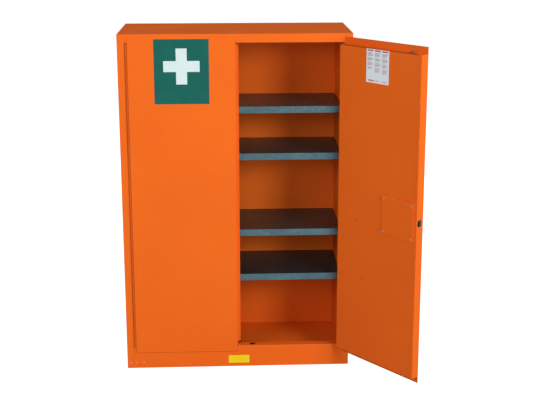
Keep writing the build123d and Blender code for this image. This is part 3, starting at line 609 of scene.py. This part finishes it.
# Marks that spot welds leave in the coat; the sizes are radius and height
HEM_MARK = (5.0 * MM, 1.2 * MM)
HEM_PITCH = 182 * MM
HEM_INSET = 6 * MM
HEM_ROWS = range(-3, 4)
PAN_MARK = (4.0 * MM, 0.7 * MM)
PAN_DOTS = ((135 * MM, 785 * MM), (176 * MM, 509 * MM))
LEFT_MARK = (3.2 * MM, 0.5 * MM)
BUTTON = (5.0 * MM, 2.2 * MM)
BUTTON_INSET = 34 * MM
BASE_MARK = (7.0 * MM, 1.6 * MM)
BASE_DOTS = (17 * MM, 47 * MM, 79 * MM)
BASE_DOT_RISE = 27 * MM
SHELL_MARK = (4.0 * MM, 0.25 * MM)
SIDE_ROWS = (200 * MM, 300 * MM)
BACK_ROWS = (-300 * MM, 0.0, 300 * MM)
WELD_PITCH = 145 * MM
WELD_FIRST = 190 * MM
WELD_COUNT = 10
EDGE_INSET = 12 * MM


def hem_marks(shape):
    for k in HEM_ROWS:
        spot = RIGHT.place(RIGHT.reach - HEM_INSET, RIGHT.hem_back, CAM_AXIS.z + k * HEM_PITCH)
        bump_mark(shape, spot, RIGHT.inward, HEM_MARK)


def pan_marks(shape):
    for u, z in PAN_DOTS:
        weld_mark(shape, RIGHT.place(u, RIGHT.back, z), RIGHT.inward, PAN_MARK)


def left_pan_marks(shape):
    for k in HEM_ROWS:
        spot = LEFT.place(LEFT.reach - 2 * HEM_INSET, LEFT.hem_back, CAM_AXIS.z + k * HEM_PITCH)
        weld_mark(shape, spot, LEFT.inward, LEFT_MARK)


def shell_marks(shape):
    heights = [WELD_FIRST + k * WELD_PITCH for k in range(WELD_COUNT)]
    for side in (-1, 1):
        for row in SIDE_ROWS:
            for z in heights:
                spot = Vector((side * BODY_HIGH.x, FRONT_Y + row, z))
                weld_mark(shape, spot, RIGHTWARD * side, SHELL_MARK)
    for x in BACK_ROWS + (EDGE_INSET - BODY_HIGH.x, BODY_HIGH.x - EDGE_INSET):
        for z in heights:
            weld_mark(shape, Vector((x, BODY_HIGH.y, z)), -FORWARD, SHELL_MARK)


def base_marks(shape):
    for inset in BASE_DOTS:
        spot = Vector((inset - BODY_HIGH.x, FRONT_Y, BASE_DOT_RISE))
        bump_mark(shape, spot, FORWARD, BASE_MARK)


def corner_button(shape):
    """Button on the top of the right door, near its free edge."""
    middle = (RIGHT.back + RIGHT.face) / 2
    spot = RIGHT.place(RIGHT.reach - BUTTON_INSET, middle, RIGHT.box_z[1])
    bump_mark(shape, spot, UP, BUTTON)


PAINT = FINISHES["orange_paint"]
# Painted highlight: the hem marks, the base marks and the corner button take the paler coat
smooth(piece("hem_weld_marks", "right_door", SPOT_HIGHLIGHT_COAT, hem_marks))
smooth(piece("door_weld_marks", "right_door", DARK_MARK_AND_SHADE_COAT, pan_marks))
smooth(piece("left_weld_marks", "left_door", PAINT, left_pan_marks))
smooth(piece("shell_weld_marks", "cabinet", PAINT, shell_marks))
smooth(piece("base_weld_marks", "cabinet", SPOT_HIGHLIGHT_COAT, base_marks))
smooth(piece("corner_button", "right_door", SPOT_HIGHLIGHT_COAT, corner_button))

# Rolled lips that turn the doors' top and bottom edges back towards the frame
LIP = 2.5 * MM
LIP_SHEET = 1.2 * MM


def lip(door, z, way):
    """Builds a lip that starts at height z and rises, or drops for way -1."""
    def build(shape):
        steps = quarter_steps(7)
        section = [(LIP, a) for a in steps] + [(LIP - LIP_SHEET, a) for a in reversed(steps)]
        outline = []
        for radius, angle in section:
            d = door.face + LIP - radius * math.cos(angle)
            outline.append(door.place(door.skin_start, d, z + way * radius * math.sin(angle)))
        slab(shape, outline, door.along * (door.reach - door.skin_start))
    return build


for side, door in (("left", LEFT), ("right", RIGHT)):
    low, high = door.skin_z
    # Painted shade: the foot lip is darker because it faces down; the head lip keeps the plain coat
    piece(f"{side}_door_foot_lip", f"{side}_door", DARK_MARK_AND_SHADE_COAT, lip(door, low, -1))
    piece(f"{side}_door_head_lip", f"{side}_door", PAINT, lip(door, high, 1))

# Painted shade: a thin dark strip along the top of the right door's inner pan, for the shadow line
# between the box top and the inner face
SHADE_STRIP = 2.8 * MM
SHADE_STRIP_RISE = 0.4 * MM


def pan_top_shade_strip(shape):
    start, end = RIGHT.sheet("right_door_pan")[0]
    top = RIGHT.box_z[1]
    corners = [(start, top - SHADE_STRIP), (end, top - SHADE_STRIP), (end, top), (start, top)]
    slab(shape, [RIGHT.place(u, RIGHT.back, z) for u, z in corners], RIGHT.inward * SHADE_STRIP_RISE)


piece("pan_top_shade_strip", "right_door", PAN_TOP_SHADE_COAT, pan_top_shade_strip)


# --- Floor, light and camera ---

FLOOR_HALF = 60
FLOOR_DROP = 0.5 * MM
FLOOR_GREY = 0.55
FLOOR_GLOW = 0.85
SOFTBOXES = (  # name, azimuth, elevation, watts, distance, size
    ("right_softbox", 37, 18, 180, 6.0, 2.0),
    ("middle_softbox", -3, 18, 40, 6.0, 1.6),
    ("left_softbox", -40, 24, 25, 3.6, 1.2),
    ("rear_right_softbox", 140, 20, 71, 6.0, 2.0),
    ("rear_left_softbox", -140, 20, 71, 6.0, 2.0),
)
LENS = 69.1
LENS_SHIFT = (-0.0083, -0.1)
CAMERA_PLACE = (-0.031, -5.046, 2.228)
CAMERA_DOWN, CAMERA_RIGHT = 13.2, 2.65  # degrees

def seen_rays(tree):
    """1 for what the camera, metal and glass see; 0 for the light that falls on things."""
    path = tree.nodes.new("ShaderNodeLightPath")
    total = path.outputs["Is Camera Ray"]
    for ray in ("Is Glossy Ray", "Is Transmission Ray"):
        either = tree.nodes.new("ShaderNodeMath")
        either.operation = "MAXIMUM"
        tree.links.new(total, either.inputs[0])
        tree.links.new(path.outputs[ray], either.inputs[1])
        total = either.outputs[0]
    return total


def floor():
    shape = bmesh.new()
    bmesh.ops.create_grid(shape, x_segments=2, y_segments=2, size=FLOOR_HALF)
    mesh = bpy.data.meshes.new("floor")
    shape.to_mesh(mesh)
    shape.free()
    made = bpy.data.objects.new("floor", mesh)
    made.location = (0, 0, cad_box[0].z - FLOOR_DROP)
    scene.collection.objects.link(made)
    pale = Finish("pale_floor", Roughness=0.9, Specular_IOR_Level=0.0)
    pale.shader.inputs["Base Color"].default_value = (FLOOR_GREY, FLOOR_GREY, FLOOR_GREY, 1)
    glow = pale.node("ShaderNodeEmission", {"Color": (1, 1, 1, 1), "Strength": FLOOR_GLOW})
    both = pale.node("ShaderNodeAddShader", {0: pale.shader.outputs[0], 1: glow.outputs[0]})
    seen = seen_rays(pale.tree)
    pick = pale.node("ShaderNodeMixShader", {0: seen, 1: pale.shader.outputs[0], 2: both.outputs[0]})
    pale.tree.links.new(pick.outputs[0], pale.tree.nodes["Material Output"].inputs[0])
    mesh.materials.append(pale.material)


def world():
    made = bpy.data.worlds.new("studio")
    scene.world = made
    made.use_nodes = True
    tree = made.node_tree
    background = tree.nodes["Background"]
    background.inputs["Color"].default_value = (1, 1, 1, 1)
    strength = tree.nodes.new("ShaderNodeMapRange")
    tree.links.new(seen_rays(tree), strength.inputs["Value"])
    strength.inputs["To Min"].default_value = AMBIENT
    strength.inputs["To Max"].default_value = 1.0
    tree.links.new(strength.outputs[0], background.inputs["Strength"])


def softbox(name, azimuth, elevation, watts, distance, size):
    """Square lamp, azimuth degrees to the right of the front, that faces the cabinet's middle."""
    turn, lift = math.radians(azimuth), math.radians(elevation)
    aim = Vector((0, 0, (BODY_LOW.z + BODY_HIGH.z) / 2))
    flat = math.cos(lift)
    way = Vector((math.sin(turn) * flat, -math.cos(turn) * flat, math.sin(lift)))
    light = bpy.data.lights.new(name, "AREA")
    light.shape, light.size, light.energy = "SQUARE", size, watts
    made = bpy.data.objects.new(name, light)
    made.location = aim + way * distance
    made.rotation_mode = "QUATERNION"
    made.rotation_quaternion = (-way).to_track_quat("-Z", "Y")
    scene.collection.objects.link(made)


def camera():
    data = bpy.data.cameras.new("camera")
    made = bpy.data.objects.new("camera", data)
    data.lens = LENS
    data.shift_x, data.shift_y = LENS_SHIFT
    data.clip_end = 200
    made.location = CAMERA_PLACE
    made.rotation_euler = (math.radians(90 - CAMERA_DOWN), 0, math.radians(-CAMERA_RIGHT))
    scene.collection.objects.link(made)
    scene.camera = made


floor()
world()
for settings in SOFTBOXES:
    softbox(*settings)
camera()
scene.view_settings.view_transform = "Standard"
